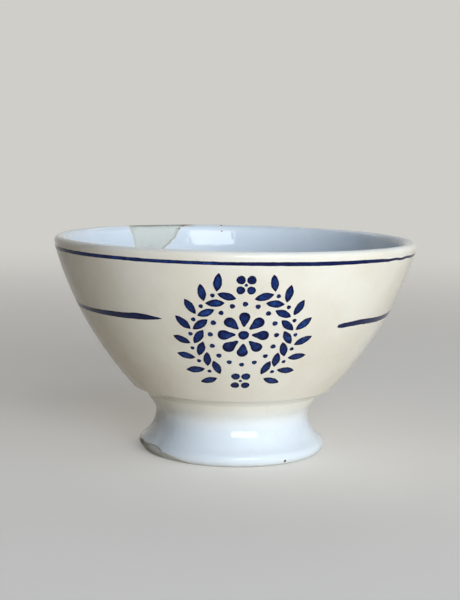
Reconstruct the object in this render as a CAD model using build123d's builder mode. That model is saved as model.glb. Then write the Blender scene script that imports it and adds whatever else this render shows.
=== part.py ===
"""Footed latte bowl in glazed earthenware, painted with blue lines and a stencilled medallion.

The bowl and its hollow pedestal foot are two clay pieces, joined by a ring of slip. The colour layers are
thin solids that lie on the bowl's outer wall. The origin is at the centre of the base, +Z is up, and the
medallion faces -Y.
"""
import os
from math import acos, asin, atan2, cos, degrees, hypot, radians, sin, sqrt, tan

from build123d import *

os.makedirs("parts", exist_ok=True)

# Bowl, in millimetres
rim_diameter = 140.0
total_height = 83.4
lip_outer_round = 1.85
lip_swell = 0.85
lip_inside_curve_radius = 40.0
lip_band_height = 4.75
lip_band_inset = 0.45
wall_curve_radius = 135.0
wall_thickness = 4.2
floor_thickness = 5.5
inside_corner_radius = 42.0
belly_overhang = 3.5
belly_edge_round = 2.0

# Foot
foot_height = 24.8
foot_top_diameter = 71.2
waist_diameter = 60.0
waist_height = 14.9
flare_curve_radius = 5.8
base_diameter = 72.6
base_bead_radius = 2.7
bearing_width = 3.6
bearing_edge_round = 0.8
foot_wall = 5.0

# Slip between the foot and the bowl
slip_thickness = 0.5
slip_squeeze = 2.0
slip_run_down = 3.2
slip_hollow = 0.25

# Painted lines, which lie this little above the wall
paint_lift = 0.05
paint_thickness = 0.15
rim_line_width = 1.3
stripe_width = 2.1
stripe_drop = 26.2
stripe_gap_left = 27.7
stripe_gap_right = 34.5

# Medallion: rosette, ring of beads and wreath
medallion_drop = 30.0
eye_diameter = 3.8
petal_count = 8
petal_start = 3.4
petal_start_width = 1.1
petal_end = 7.0
petal_end_width = 4.2
bead_count = 16
bead_diameter = 1.9
bead_ring_diameter = 23.2
wreath_diameter = 36.8
leaf_stations = 8
leaf_first_angle = -66.0
leaf_pitch = 17.4
leaf_length = 7.0
leaf_width = 3.0
leaf_tilt = 48.0
leaf_stem_gap = 0.5
berry_diameter = 1.6
quatrefoil_petals = 4
quatrefoil_petal_diameter = 3.2
quatrefoil_reach = 2.6
quatrefoil_eye_diameter = 1.2

# Levels and radii that follow from them
rim_radius = rim_diameter / 2
lip_top_radius = rim_radius - lip_outer_round
lip_outer_height = total_height - lip_outer_round
lip_inner_round = wall_thickness + lip_swell - lip_outer_round
lip_inner_height = total_height - lip_inner_round
lip_foot_radius = rim_radius - lip_band_inset
lip_foot_height = total_height - lip_band_height
underside_height = foot_height + slip_thickness
foot_top_radius = foot_top_diameter / 2
belly_radius = foot_top_radius + belly_overhang
inside_floor_height = underside_height + floor_thickness
paint_top = paint_lift + paint_thickness


def bulge_centre(low, high, radius):
    """Centre of the arc of this radius that joins two profile points and bulges outwards and down."""
    run = high[0] - low[0]
    rise = high[1] - low[1]
    chord = hypot(run, rise)
    reach = sqrt(radius**2 - (chord / 2) ** 2)
    return (low[0] + run / 2 - reach * rise / chord, low[1] + rise / 2 + reach * run / chord)


wall_low = (belly_radius, underside_height)
wall_high = (lip_foot_radius, lip_foot_height)
wall_centre = bulge_centre(wall_low, wall_high, wall_curve_radius)


def wall_point(height, outside=0.0):
    """Profile point at this height, on the outer wall or on a surface this far outside it."""
    radius = wall_curve_radius + outside
    return (wall_centre[0] + sqrt(radius**2 - (height - wall_centre[1]) ** 2), height)


def lip_band_point(height, outside=0.0):
    """Profile point at this height on the straight band below the lip's rounding, or outside it."""
    share = (height - lip_foot_height) / (lip_outer_height - lip_foot_height)
    return (lip_foot_radius + share * lip_band_inset + outside, height)


def wall_arc(low, high, outside=0.0):
    """Arc of the outer wall's profile, or of a surface outside it, between two heights."""
    middle = (low + high) / 2
    return ThreePointArc(wall_point(low, outside), wall_point(middle, outside), wall_point(high, outside))


def blend_centre(first, first_reach, second, second_reach):
    """Point at these distances from two profile points, below the line that joins them."""
    run = second[0] - first[0]
    rise = second[1] - first[1]
    gap = hypot(run, rise)
    share = (first_reach**2 - second_reach**2 + gap**2) / (2 * gap)
    aside = sqrt(first_reach**2 - share**2)
    return (first[0] + (share * run + aside * rise) / gap, first[1] + (share * rise - aside * run) / gap)


def direction(start, end):
    """Direction from one profile point to another, in degrees from level."""
    return degrees(atan2(end[1] - start[1], end[0] - start[0]))


# Bowl: one turned section, from the underside up the outer wall, over the lip and down the inside.
# Below the lip the inside bends towards upright, on an arc that is tangent to the lip and to the wall.
inside_curve_radius = wall_curve_radius - wall_thickness
inside_foot = wall_point(inside_floor_height, -wall_thickness)
lip_inner_centre = (lip_top_radius, lip_inner_height)
lip_inside_centre = blend_centre(
    wall_centre,
    inside_curve_radius - lip_inside_curve_radius,
    lip_inner_centre,
    lip_inside_curve_radius + lip_inner_round,
)
lip_inside_low = direction(wall_centre, lip_inside_centre)
lip_inside_high = direction(lip_inside_centre, lip_inner_centre)
lip_inside_sweep = lip_inside_high - lip_inside_low
inside_top_height = wall_centre[1] + inside_curve_radius * sin(radians(lip_inside_low))

with BuildPart() as bowl:
    with BuildSketch(Plane.XZ) as bowl_section:
        with BuildLine():
            Line((0, underside_height), wall_low)
            wall_arc(underside_height, lip_foot_height)
            Line(wall_high, (rim_radius, lip_outer_height))
            CenterArc((lip_top_radius, lip_outer_height), lip_outer_round, 0, 90)
            CenterArc(lip_inner_centre, lip_inner_round, 90, 90 + lip_inside_high)
            CenterArc(lip_inside_centre, lip_inside_curve_radius, lip_inside_low, lip_inside_sweep)
            wall_arc(inside_floor_height, inside_top_height, -wall_thickness)
            Line(inside_foot, (0, inside_floor_height))
            Line((0, inside_floor_height), (0, underside_height))
        make_face()
        belly_edge = bowl_section.vertices().sort_by_distance(wall_low)[0]
        fillet(belly_edge, belly_edge_round)
        inside_corner = bowl_section.vertices().sort_by_distance(inside_foot)[0]
        fillet(inside_corner, inside_corner_radius)
    revolve(axis=Axis.Z)
bowl.part.label = "bowl"
export_step(bowl.part, "parts/bowl.step")

# Foot: base bead, concave waist and a straight flare up to the joint, with a wall of even thickness
waist_radius = waist_diameter / 2
bead_centre_radius = base_diameter / 2 - base_bead_radius
bearing_inner_radius = bead_centre_radius - bearing_width
waist_step = waist_radius - bead_centre_radius
waist_rise = waist_height - base_bead_radius
waist_gap = waist_step**2 + waist_rise**2 - base_bead_radius**2
waist_curve_radius = waist_gap / (2 * (base_bead_radius - waist_step))
waist_centre_radius = waist_radius + waist_curve_radius
bead_end_angle = atan2(waist_rise, waist_centre_radius - bead_centre_radius)
bead_sweep = 90 + degrees(bead_end_angle)
flare_centre_radius = waist_radius + flare_curve_radius
flare_reach = hypot(foot_top_radius - flare_centre_radius, foot_height - waist_height)
flare_top_angle = atan2(foot_height - waist_height, foot_top_radius - flare_centre_radius)
flare_end_angle = flare_top_angle + acos(flare_curve_radius / flare_reach)
foot_top_inner_radius = foot_top_radius + foot_wall / cos(flare_end_angle)
hollow_waist_radius = waist_curve_radius + foot_wall
hollow_flare_radius = flare_curve_radius + foot_wall
hollow_start_angle = acos((bearing_inner_radius - waist_centre_radius) / hollow_waist_radius)


def waist_arc(centre_radius, radius, start_angle, end_angle):
    """Arc about a centre at waist height, between two angles in radians."""
    size = degrees(end_angle - start_angle)
    return CenterArc((centre_radius, waist_height), radius, degrees(start_angle), size)


half_turn = radians(180)

with BuildPart() as foot:
    with BuildSketch(Plane.XZ) as foot_section:
        with BuildLine():
            Line((bearing_inner_radius, 0), (bead_centre_radius, 0))
            CenterArc((bead_centre_radius, base_bead_radius), base_bead_radius, -90, bead_sweep)
            waist_arc(waist_centre_radius, waist_curve_radius, bead_end_angle + half_turn, half_turn)
            outer_flare = waist_arc(flare_centre_radius, flare_curve_radius, half_turn, flare_end_angle)
            Line(outer_flare @ 1, (foot_top_radius, foot_height))
            Line((foot_top_radius, foot_height), (foot_top_inner_radius, foot_height))
            inner_flare = waist_arc(flare_centre_radius, hollow_flare_radius, half_turn, flare_end_angle)
            Line((foot_top_inner_radius, foot_height), inner_flare @ 1)
            hollow = waist_arc(waist_centre_radius, hollow_waist_radius, -hollow_start_angle, -half_turn)
            Line(hollow @ 0, (bearing_inner_radius, 0))
        make_face()
        bearing_edge = foot_section.vertices().sort_by_distance((bearing_inner_radius, 0))[0]
        fillet(bearing_edge, bearing_edge_round)
    revolve(axis=Axis.Z)
foot.part.label = "foot"
export_step(foot.part, "parts/foot.step")

# Slip: fills the joint and ends in a hollow fillet, from the foot's flare to the bowl's underside.
# Both its reaches run from the corner where the flare, carried on, would meet the underside.
slip_corner_radius = foot_top_radius - slip_thickness * tan(flare_end_angle)
slip_edge = (slip_corner_radius + slip_squeeze, underside_height)
slip_foot = (
    slip_corner_radius - slip_run_down * sin(flare_end_angle),
    underside_height + slip_run_down * cos(flare_end_angle),
)

with BuildPart() as luting_slip:
    with BuildSketch(Plane.XZ):
        with BuildLine():
            Line((foot_top_inner_radius, foot_height), (foot_top_radius, foot_height))
            Line((foot_top_radius, foot_height), slip_foot)
            SagittaArc(slip_foot, slip_edge, slip_hollow)
            Line(slip_edge, (foot_top_inner_radius, underside_height))
            Line((foot_top_inner_radius, underside_height), (foot_top_inner_radius, foot_height))
        make_face()
    revolve(axis=Axis.Z)
luting_slip.part.label = "luting_slip"
export_step(luting_slip.part, "parts/luting_slip.step")

# Rim line: a ring of colour on the lower edge of the lip band
rim_line_top = lip_foot_height + rim_line_width

with BuildPart() as rim_line:
    with BuildSketch(Plane.XZ):
        with BuildLine():
            Polyline(
                lip_band_point(lip_foot_height, paint_lift),
                lip_band_point(lip_foot_height, paint_top),
                lip_band_point(rim_line_top, paint_top),
                lip_band_point(rim_line_top, paint_lift),
                close=True,
            )
        make_face()
    revolve(axis=Axis.Z)
rim_line.part.label = "rim_line"
export_step(rim_line.part, "parts/rim_line.step")

# Side stripe: a band round the wall, open at the front
stripe_low = total_height - stripe_drop - stripe_width / 2
stripe_high = stripe_low + stripe_width
stripe_start = radians(stripe_gap_right - 90)
stripe_plane = Plane(
    origin=(0, 0, 0),
    x_dir=(cos(stripe_start), sin(stripe_start), 0),
    z_dir=(sin(stripe_start), -cos(stripe_start), 0),
)

with BuildPart() as side_stripe:
    with BuildSketch(stripe_plane):
        with BuildLine():
            wall_arc(stripe_low, stripe_high, paint_lift)
            Line(wall_point(stripe_high, paint_lift), wall_point(stripe_high, paint_top))
            wall_arc(stripe_low, stripe_high, paint_top)
            Line(wall_point(stripe_low, paint_top), wall_point(stripe_low, paint_lift))
        make_face()
    revolve(axis=Axis.Z, revolution_arc=360 - stripe_gap_left - stripe_gap_right)
side_stripe.part.label = "side_stripe"
export_step(side_stripe.part, "parts/side_stripe.step")

# Medallion: pats of colour, each one laid on the wall at its own place
medallion_height = total_height - medallion_drop


def polar_place(radius, angle):
    """Place on the medallion, across and up from its middle, at an angle from level in degrees."""
    return (radius * cos(radians(angle)), radius * sin(radians(angle)))


def wall_plane(across, up, turn=0.0):
    """Plane that lies on the wall at a place of the medallion, its x axis turned from level, in degrees."""
    radius, height = wall_point(medallion_height + up, paint_lift)
    azimuth = asin(across / radius) - radians(90)
    lean = asin((height - wall_centre[1]) / (wall_curve_radius + paint_lift))
    outwards = Vector(cos(lean) * cos(azimuth), cos(lean) * sin(azimuth), sin(lean))
    level = Vector(-sin(azimuth), cos(azimuth), 0)
    return Plane(
        origin=(radius * cos(azimuth), radius * sin(azimuth), height),
        x_dir=level.rotate(Axis((0, 0, 0), outwards), turn),
        z_dir=outwards,
    )


def ring_planes(radius, count, first_angle=0.0):
    """Planes on the wall for pats spaced evenly round the medallion's middle, turned to point outwards."""
    angles = [first_angle + 360 / count * index for index in range(count)]
    return [wall_plane(*polar_place(radius, angle), angle) for angle in angles]


with BuildPart() as rosette_eye:
    with BuildSketch(wall_plane(0, 0)):
        Circle(eye_diameter / 2)
    extrude(amount=paint_thickness)
rosette_eye.part.label = "rosette_eye"
export_step(rosette_eye.part, "parts/rosette_eye.step")

petal_middle = (petal_start + petal_end) / 2

with BuildPart() as rosette_petals:
    with BuildSketch(*ring_planes(petal_middle, petal_count)):
        with Locations((petal_start - petal_middle, 0)):
            Circle(petal_start_width / 2)
        with Locations((petal_end - petal_middle, 0)):
            Circle(petal_end_width / 2)
        make_hull()
    extrude(amount=paint_thickness)
rosette_petals.part.label = "rosette_petals"
export_step(rosette_petals.part, "parts/rosette_petals.step")

with BuildPart() as bead_ring:
    with BuildSketch(*ring_planes(bead_ring_diameter / 2, bead_count)):
        Circle(bead_diameter / 2)
    extrude(amount=paint_thickness)
bead_ring.part.label = "bead_ring"
export_step(bead_ring.part, "parts/bead_ring.step")

# Wreath: two sprays that climb from the bottom to the top, leaves in pairs, a berry between the pairs
wreath_radius = wreath_diameter / 2
leaf_middle = leaf_stem_gap + leaf_length / 2
berry_setback = leaf_stem_gap + berry_diameter / 2
leaf_planes = []
berry_planes = []
for station in range(leaf_stations):
    station_angle = leaf_first_angle + station * leaf_pitch
    stem_across, stem_up = polar_place(wreath_radius, station_angle)
    for heading in (station_angle + 90 - leaf_tilt, station_angle + 90 + leaf_tilt):
        leaf_across, leaf_up = polar_place(leaf_middle, heading)
        leaf_planes.append(wall_plane(stem_across + leaf_across, stem_up + leaf_up, heading))
        leaf_planes.append(wall_plane(-stem_across - leaf_across, stem_up + leaf_up, -heading))
    if station > 0:
        back_across, back_up = polar_place(berry_setback, station_angle - 90)
        berry_planes.append(wall_plane(stem_across + back_across, stem_up + back_up))
        berry_planes.append(wall_plane(-stem_across - back_across, stem_up + back_up))

with BuildPart() as wreath_leaves:
    with BuildSketch(*leaf_planes):
        with BuildLine():
            SagittaArc((-leaf_length / 2, 0), (leaf_length / 2, 0), leaf_width / 2)
            SagittaArc((-leaf_length / 2, 0), (leaf_length / 2, 0), -leaf_width / 2)
        make_face()
    extrude(amount=paint_thickness)
wreath_leaves.part.label = "wreath_leaves"
export_step(wreath_leaves.part, "parts/wreath_leaves.step")

with BuildPart() as wreath_berries:
    with BuildSketch(*berry_planes):
        Circle(berry_diameter / 2)
    extrude(amount=paint_thickness)
wreath_berries.part.label = "wreath_berries"
export_step(wreath_berries.part, "parts/wreath_berries.step")

# Quatrefoils: one closes the wreath at the top, one at the bottom
foil_eye_planes = []
foil_petal_planes = []
for foil_up in (wreath_radius, -wreath_radius):
    foil_eye_planes.append(wall_plane(0, foil_up))
    for index in range(quatrefoil_petals):
        petal_across, petal_up = polar_place(quatrefoil_reach, 360 / quatrefoil_petals * (index + 0.5))
        foil_petal_planes.append(wall_plane(petal_across, foil_up + petal_up))

with BuildPart() as quatrefoils:
    with BuildSketch(*foil_eye_planes):
        Circle(quatrefoil_eye_diameter / 2)
    extrude(amount=paint_thickness)
    with BuildSketch(*foil_petal_planes):
        Circle(quatrefoil_petal_diameter / 2)
    extrude(amount=paint_thickness)
quatrefoils.part.label = "quatrefoils"
export_step(quatrefoils.part, "parts/quatrefoils.step")
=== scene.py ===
"""Footed latte bowl in glazed earthenware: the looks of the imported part.

Each clay piece is turned from its section, broken where the old bowl is broken, and dressed in its glaze.
The blue is laid on the wall as thin brushed skins. Sizes in the classes are in millimetres and azimuths in
degrees from the front of the bowl, growing to the viewer's right. Blender's own units are metres.
"""
import logging
import random
from collections.abc import Callable, Sequence
from dataclasses import dataclass
from enum import Enum
from itertools import pairwise
from math import acos, asin, atan2, ceil, cos, degrees, hypot, pi, radians, sin, sqrt, tan

import bpy
from bpy.types import Material, Node, NodeSocket, NodeTree, Object
from mathutils import Matrix, Vector, noise


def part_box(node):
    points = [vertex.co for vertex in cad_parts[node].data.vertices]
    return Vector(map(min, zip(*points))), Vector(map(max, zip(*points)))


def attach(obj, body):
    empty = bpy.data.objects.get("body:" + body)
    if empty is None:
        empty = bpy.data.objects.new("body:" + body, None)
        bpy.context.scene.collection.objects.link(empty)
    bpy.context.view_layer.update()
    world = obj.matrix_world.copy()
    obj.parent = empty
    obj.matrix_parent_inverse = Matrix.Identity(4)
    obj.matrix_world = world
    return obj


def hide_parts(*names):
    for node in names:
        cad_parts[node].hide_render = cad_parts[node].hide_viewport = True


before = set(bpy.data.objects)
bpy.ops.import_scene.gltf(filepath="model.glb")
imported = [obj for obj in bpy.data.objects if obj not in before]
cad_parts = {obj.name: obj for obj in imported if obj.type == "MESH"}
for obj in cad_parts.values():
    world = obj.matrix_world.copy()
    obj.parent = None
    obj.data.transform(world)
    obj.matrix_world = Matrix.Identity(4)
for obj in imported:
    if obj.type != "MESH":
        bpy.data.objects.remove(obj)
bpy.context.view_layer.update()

MM = 0.001
# Points this close, in millimetres, are one point
TOUCHING = 0.001
# Edges shorter than this, in millimetres, are cleared from a break
SLIVER = 0.004
# A wave texture's bands repeat at this share of a unit
WAVE_PERIOD = 2 * pi / 20
BODY = "root"
BACKGROUND = "#CFCEC9"
Point = tuple[float, float]
Triple = tuple[float, float, float]

log = logging.getLogger("latte_bowl")


class Slot(Enum):
    """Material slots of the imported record."""

    WHITE_GLAZE = "white_glaze"
    SLIP = "slip"
    COBALT_BLUE = "cobalt_blue"


class DabShape(Enum):
    """Outlines that the stencil's dabs have."""

    ROUND = "round"
    PETAL = "petal"
    LEAF = "leaf"


# Small tools


def linear(hex_colour: str) -> tuple[float, float, float, float]:
    """Turns an sRGB hex colour to linear RGBA.

    Args:
        hex_colour: six hex digits after a hash sign.

    Returns:
        Red, green, blue and an alpha of 1.
    """
    channels = [int(hex_colour[i:i + 2], 16) / 255 for i in (1, 3, 5)]
    return (*[c / 12.92 if c <= 0.04045 else ((c + 0.055) / 1.055) ** 2.4 for c in channels], 1.0)


def per_metre(size_mm: float) -> float:
    """Texture scale that gives a pattern features of this size in millimetres."""
    return 1 / (size_mm * MM)


def feed(socket: NodeSocket, source: object) -> None:
    """Links or sets a node's input.

    Args:
        socket: the input.
        source: an output, a node whose first output in use is meant, or a plain value.
    """
    if isinstance(source, Node):
        source = next(output for output in source.outputs if output.enabled)
    if isinstance(source, NodeSocket):
        socket.id_data.links.new(source, socket)
    else:
        socket.default_value = source


def add_node(tree: NodeTree, kind: str, inputs: dict | None = None,
             **settings: object) -> Node:
    """Adds a shader node with its settings, values and links.

    Args:
        tree: the node tree.
        kind: the node's type name after its leading ShaderNode.
        inputs: what feeds each input in use, by the input's name or index.
        settings: properties of the node itself.

    Returns:
        The new node.
    """
    node = tree.nodes.new("ShaderNode" + kind)
    for name, value in settings.items():
        setattr(node, name, value)
    named = {socket.name: socket for socket in reversed(node.inputs) if socket.enabled}
    for key, source in (inputs or {}).items():
        feed(node.inputs[key] if isinstance(key, int) else named[key], source)
    return node


def new_material(name: str, values: dict[str, object]) -> tuple[
        Material, NodeTree, Node, NodeSocket]:
    """Starts a material that has a Principled shader.

    Args:
        name: the finish's name.
        values: the shader's values that are the same all over, by input name.

    Returns:
        The material, its node tree, the shader node and the Object coordinates.
    """
    material = bpy.data.materials.new(name)
    material.use_nodes = True
    tree = material.node_tree
    shader = tree.nodes["Principled BSDF"]
    for key, value in values.items():
        feed(shader.inputs[key], value)
    return material, tree, shader, add_node(tree, "TexCoord").outputs["Object"]


def smooth_share(value: float) -> float:
    """Eases a share from 0 to 1, held to that range."""
    share = min(1.0, max(0.0, value))
    return share * share * (3 - 2 * share)


def steep_share(value: float) -> float:
    """Share that rises steeply from 0 and levels off at 1."""
    return 1 - (1 - min(1.0, value)) ** 3


def along(stations: Sequence[Point], place: float) -> float:
    """Reads a value from stations, eased from each to the next.

    Args:
        stations: (place, value) pairs in order of place.
        place: where the value is wanted.

    Returns:
        The value there, or the end station's value beyond the ends.
    """
    if place <= stations[0][0]:
        return stations[0][1]
    for (low, first), (high, second) in pairwise(stations):
        if place <= high:
            return first + (second - first) * smooth_share((place - low) / (high - low))
    return stations[-1][1]


def ripple(place: Vector, size: float, seed: float = 0.0) -> float:
    """Fixed noise from -1 to 1, with features of this size, at a place in the same unit."""
    return noise.noise(place / size + Vector((seed, -seed, 2 * seed)))


def round_axis(radius: float, azimuth: float, height: float) -> Vector:
    """Point in metres from a radius and height in millimetres and an azimuth in degrees."""
    turn = radians(azimuth)
    return Vector((radius * sin(turn), -radius * cos(turn), height)) * MM


def polar(reach: float, angle: float) -> Point:
    """Ways along and up from a reach and an angle in degrees."""
    return reach * cos(radians(angle)), reach * sin(radians(angle))


def heading(start: Point, end: Point) -> float:
    """Angle of the way from one point of a section to another, in radians."""
    return atan2(end[1] - start[1], end[0] - start[0])


def arc(centre: Point, radius: float, start: float, end: float, step: float) -> list[Point]:
    """Points along an arc of a section.

    Args:
        centre: the arc's centre, as radius and height.
        radius: the arc's radius.
        start: first angle, in radians.
        end: last angle, in radians.
        step: longest distance between points.

    Returns:
        The points, ends included.
    """
    count = max(2, ceil(abs(end - start) * radius / step))
    angles = [start + (end - start) * i / count for i in range(count + 1)]
    return [(centre[0] + radius * cos(a), centre[1] + radius * sin(a)) for a in angles]


def run(start: Point, end: Point, step: float) -> list[Point]:
    """Points along a straight run of a section, ends included."""
    count = max(1, ceil(hypot(end[0] - start[0], end[1] - start[1]) / step))
    return [(start[0] + (end[0] - start[0]) * i / count, start[1] + (end[1] - start[1]) * i / count)
            for i in range(count + 1)]


def meeting(first: Point, first_reach: float, second: Point, second_reach: float) -> Point:
    """Finds the point at two distances from two points of a section, below the line that joins them.

    Args:
        first: one point, as radius and height.
        first_reach: distance from it.
        second: the other point.
        second_reach: distance from that one.

    Returns:
        The point, as radius and height.
    """
    across, rise = second[0] - first[0], second[1] - first[1]
    gap = hypot(across, rise)
    share = (first_reach**2 - second_reach**2 + gap**2) / (2 * gap)
    aside = sqrt(first_reach**2 - share**2)
    return (first[0] + (share * across + aside * rise) / gap,
            first[1] + (share * rise - aside * across) / gap)


def edit_all() -> None:
    """Opens the active piece in edit mode with all of it selected."""
    bpy.ops.object.mode_set(mode="EDIT")
    bpy.ops.mesh.select_all(action="SELECT")


def close_edit() -> None:
    """Merges doubles, turns all faces outwards and leaves edit mode."""
    bpy.ops.mesh.select_all(action="SELECT")
    bpy.ops.mesh.remove_doubles(threshold=TOUCHING * MM)
    bpy.ops.mesh.normals_make_consistent(inside=False)
    bpy.ops.object.mode_set(mode="OBJECT")


def only(piece: Object) -> None:
    """Selects one piece alone and makes it active.

    Args:
        piece: the piece.
    """
    bpy.ops.object.select_all(action="DESELECT")
    piece.select_set(True)
    bpy.context.view_layer.objects.active = piece


def added(add: Callable[..., set[str]], **settings: object) -> Object:
    """Adds one of Blender's own meshes.

    Args:
        add: the operator that adds it.
        settings: the operator's settings.

    Returns:
        The new object, selected alone.
    """
    bpy.ops.object.select_all(action="DESELECT")
    add(**settings)
    return bpy.context.object


def apply_modifier(piece: Object, kind: str, **settings: object) -> None:
    """Adds a modifier with its settings and applies it.

    Args:
        piece: the piece to change.
        kind: the modifier's type.
        settings: its properties.
    """
    only(piece)
    modifier = piece.modifiers.new(kind.lower(), kind)
    for name, value in settings.items():
        setattr(modifier, name, value)
    bpy.ops.object.modifier_apply(modifier=modifier.name)


def turned(name: str, section: Sequence[Point], turns: int, glaze: Material) -> Object:
    """Turns a section round the vertical axis, as on a wheel, and dresses it.

    Args:
        name: the piece's name.
        section: outline as radius and height, from axis to axis or closed on itself.
        turns: steps in the full turn.
        glaze: the piece's finish.

    Returns:
        The closed piece.
    """
    piece = added(bpy.ops.mesh.primitive_plane_add, size=MM)
    piece.name = name
    piece.data.materials.append(glaze)
    edit_all()
    bpy.ops.mesh.merge(type="CENTER")
    bpy.ops.transform.translate(value=(section[0][0] * MM, 0, section[0][1] * MM))
    for (r0, z0), (r1, z1) in pairwise(section):
        step = ((r1 - r0) * MM, 0, (z1 - z0) * MM)
        bpy.ops.mesh.extrude_vertices_move(TRANSFORM_OT_translate={"value": step})
    bpy.ops.mesh.select_all(action="SELECT")
    bpy.ops.mesh.remove_doubles(threshold=TOUCHING * MM)
    bpy.ops.mesh.spin(steps=turns, angle=2 * pi, center=(0, 0, 0), axis=(0, 0, 1))
    close_edit()
    return piece


def laid_grid(name: str, columns: int, rows: int,
              place: Callable[[float, float], Vector]) -> Object:
    """Adds a grid and lays it where a formula says.

    Args:
        name: the piece's name.
        columns: faces along.
        rows: faces across.
        place: gives a point in metres from shares along and across.

    Returns:
        The open sheet.
    """
    piece = added(bpy.ops.mesh.primitive_grid_add, x_subdivisions=columns, y_subdivisions=rows, size=1)
    piece.name = name
    for vertex in piece.data.vertices:
        vertex.co = place(vertex.co.x + 0.5, vertex.co.y + 0.5)
    return piece


def inside_out(piece: Object) -> bool:
    """Says whether a closed piece has its faces turned inwards.

    Args:
        piece: the closed piece.

    Returns:
        True where the volume that its faces enclose is negative.
    """
    piece.data.calc_loop_triangles()
    corners = [[piece.data.vertices[i].co for i in face.vertices] for face in piece.data.loop_triangles]
    return sum(a.dot(b.cross(c)) for a, b, c in corners) < 0


def cutter_from(sheet: Object, shift: Vector) -> Object:
    """Makes a closed cutter from a break's surface.

    Args:
        sheet: the broken surface as an open sheet.
        shift: how far the sheet is drawn out of the clay, in metres.

    Returns:
        The cutter.
    """
    only(sheet)
    edit_all()
    bpy.ops.mesh.extrude_region_move(TRANSFORM_OT_translate={"value": shift})
    close_edit()
    if inside_out(sheet):
        edit_all()
        bpy.ops.mesh.flip_normals()
        bpy.ops.object.mode_set(mode="OBJECT")
    return sheet


def cut(piece: Object, cutter: Object, finish: Material) -> None:
    """Breaks a cutter's shape out of a piece and clears the slivers along the break.

    Args:
        piece: the clay piece, which has its glaze already.
        cutter: the closed shape to take out; it is used up.
        finish: material that the broken face shows.
    """
    if finish.name not in piece.data.materials:
        piece.data.materials.append(finish)
    for material in piece.data.materials:
        cutter.data.materials.append(material)
    index = piece.data.materials.find(finish.name)
    cutter.data.polygons.foreach_set("material_index", [index] * len(cutter.data.polygons))
    apply_modifier(piece, "BOOLEAN", operation="DIFFERENCE", solver="MANIFOLD", object=cutter)
    bpy.data.objects.remove(cutter)
    edit_all()
    bpy.ops.mesh.remove_doubles(threshold=SLIVER * MM)
    bpy.ops.mesh.dissolve_degenerate(threshold=SLIVER * MM)
    bpy.ops.object.mode_set(mode="OBJECT")


def pit_cutter(place: Vector, radius: float, unevenness: float = 0.35) -> Object:
    """Makes the uneven cutter of a small pit.

    Args:
        place: the pit's middle on the surface, in metres.
        radius: the pit's radius, in millimetres.
        unevenness: share of the radius that it swells and shrinks by.

    Returns:
        The cutter.
    """
    cutter = added(bpy.ops.mesh.primitive_ico_sphere_add, subdivisions=3, radius=radius * MM)
    for vertex in cutter.data.vertices:
        swell = 1 + unevenness * ripple(vertex.co / MM, radius)
        vertex.co = place + vertex.co * swell
    return cutter


def uneven(piece: Object, depth: float, size: float, group: str = "") -> None:
    """Gives a turned piece the slight unevenness of hand work.

    Args:
        piece: the piece to change.
        depth: greatest height of the unevenness, in millimetres.
        size: its size along the surface, in millimetres.
        group: vertex group that limits it, if any.
    """
    clouds = bpy.data.textures.new(piece.name + "_unevenness", "CLOUDS")
    clouds.noise_scale = size * MM
    clouds.noise_depth = 1
    apply_modifier(piece, "DISPLACE", texture=clouds, texture_coords="LOCAL", strength=depth * MM,
                   mid_level=0.5, vertex_group=group)


def paint_values(piece: Object, name: str, values: Sequence[float]) -> None:
    """Stores one value for each point of a piece.

    Args:
        piece: the piece.
        name: the attribute's name.
        values: one value for each vertex.
    """
    layer = piece.data.attributes.new(name, "FLOAT", "POINT")
    layer.data.foreach_set("value", list(values))


def mark_edges(piece: Object) -> None:
    """Marks the points where the glaze ends, in the piece's edge attribute.

    Args:
        piece: the broken piece.
    """
    kinds = [set() for _ in piece.data.vertices]
    for face in piece.data.polygons:
        for index in face.vertices:
            kinds[index].add(face.material_index)
    paint_values(piece, "edge", [float(len(kind) > 1) for kind in kinds])


def smooth(piece: Object, angle: float) -> None:
    """Shades a piece smooth, with edges sharper than this angle in degrees kept."""
    only(piece)
    bpy.ops.object.shade_smooth_by_angle(angle=radians(angle))


def hand_over(piece: Object, slot: Slot, node: str, crease: float = 32.0) -> None:
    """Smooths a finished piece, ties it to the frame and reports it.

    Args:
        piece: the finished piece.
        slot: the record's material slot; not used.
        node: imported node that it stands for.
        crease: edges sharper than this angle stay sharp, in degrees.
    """
    smooth(piece, crease)
    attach(piece, BODY)
    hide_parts(node)
    log.info("%s: %d faces, stands for %s", piece.name, len(piece.data.polygons), node)


# Finishes


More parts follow.
